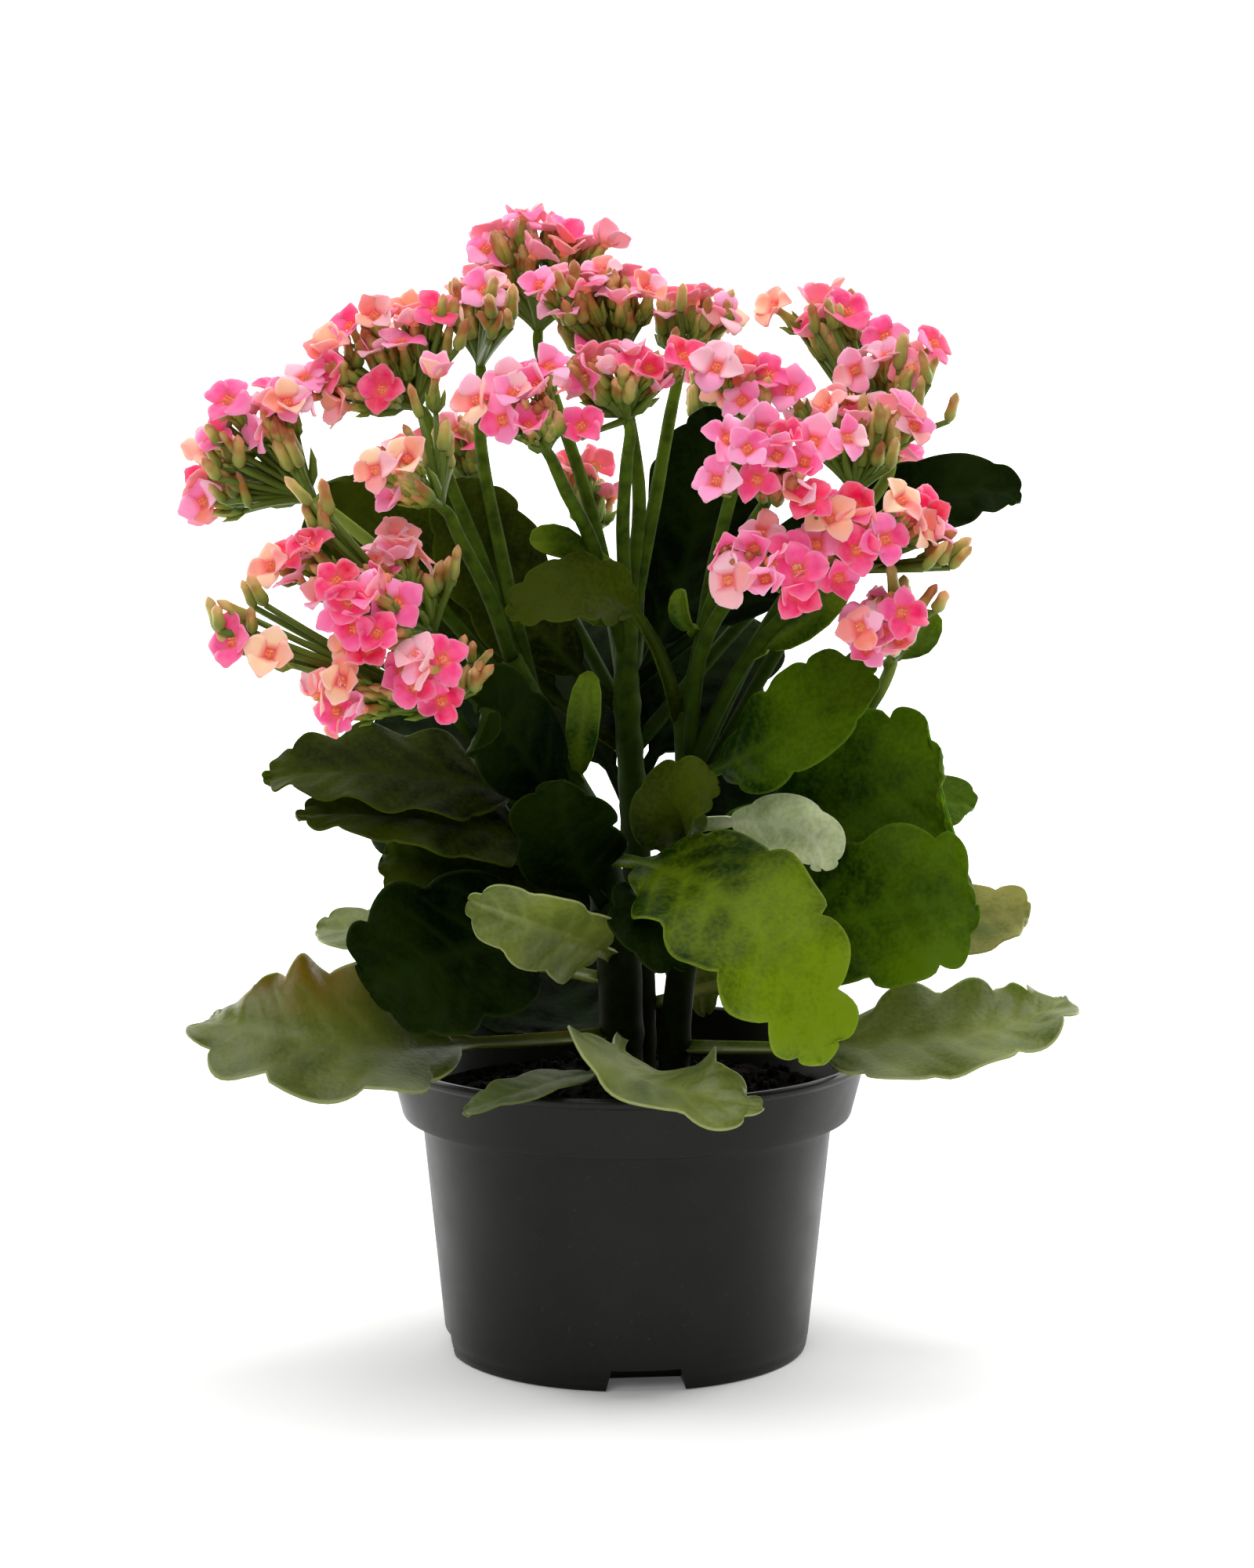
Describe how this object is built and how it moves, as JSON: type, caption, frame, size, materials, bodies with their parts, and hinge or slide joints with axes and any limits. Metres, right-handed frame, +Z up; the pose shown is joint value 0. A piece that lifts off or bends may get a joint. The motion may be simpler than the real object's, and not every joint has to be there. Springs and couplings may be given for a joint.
{
  "type": "potted kalanchoe",
  "caption": "Flowering succulent in a round plastic nursery pot, with branching stems, scalloped fleshy leaves and domed heads of four-petalled pink florets.",
  "frame": {"origin": "centre of the pot's underside, on the surface it stands on", "axes": "+Z up along the pot's axis, -Y towards the viewer, +X to the right"},
  "size_m": [0.2152, 0.1664, 0.2796],
  "materials": {
    "pot": "satin black plastic",
    "soil": "damp crumbly peat",
    "stem": "smooth green flesh",
    "leaf": "waxy satin",
    "petal": "soft velvety"
  },
  "bodies": {
    "root": {"pot": "pot", "soil": "soil", "stem_left": "stem", "stem_right": "stem", "stem_back": "stem", "leaf_01": "leaf", "leaf_02": "leaf", "leaf_03": "leaf", "leaf_04": "leaf", "leaf_05": "leaf", "leaf_06": "leaf", "leaf_07": "leaf", "leaf_08": "leaf", "leaf_09": "leaf", "leaf_10": "leaf", "leaf_11": "leaf", "leaf_12": "leaf", "leaf_13": "leaf", "leaf_14": "leaf", "leaf_15": "leaf", "leaf_16": "leaf", "leaf_17": "leaf", "leaf_18": "leaf", "leaf_19": "leaf", "leaf_20": "leaf", "leaf_21": "leaf", "leaf_22": "leaf", "leaf_23": "leaf", "leaf_24": "leaf", "leaf_25": "leaf", "leaf_26": "leaf", "leaf_27": "leaf", "leaf_28": "leaf", "leaf_29": "leaf", "leaf_30": "leaf", "leaf_31": "leaf", "leaf_32": "leaf", "leaf_33": "leaf", "head_01": "petal", "head_02": "petal", "head_03": "petal", "head_04": "petal", "head_05": "petal", "head_06": "petal", "head_07": "petal", "head_08": "petal", "head_09": "petal", "head_10": "petal", "head_11": "petal", "head_12": "petal", "head_13": "petal", "head_14": "petal", "head_15": "petal", "head_16": "petal", "head_17": "petal", "head_18": "petal", "head_19": "petal", "head_20": "petal", "head_21": "petal", "head_22": "petal"}
  },
  "joints": []
}
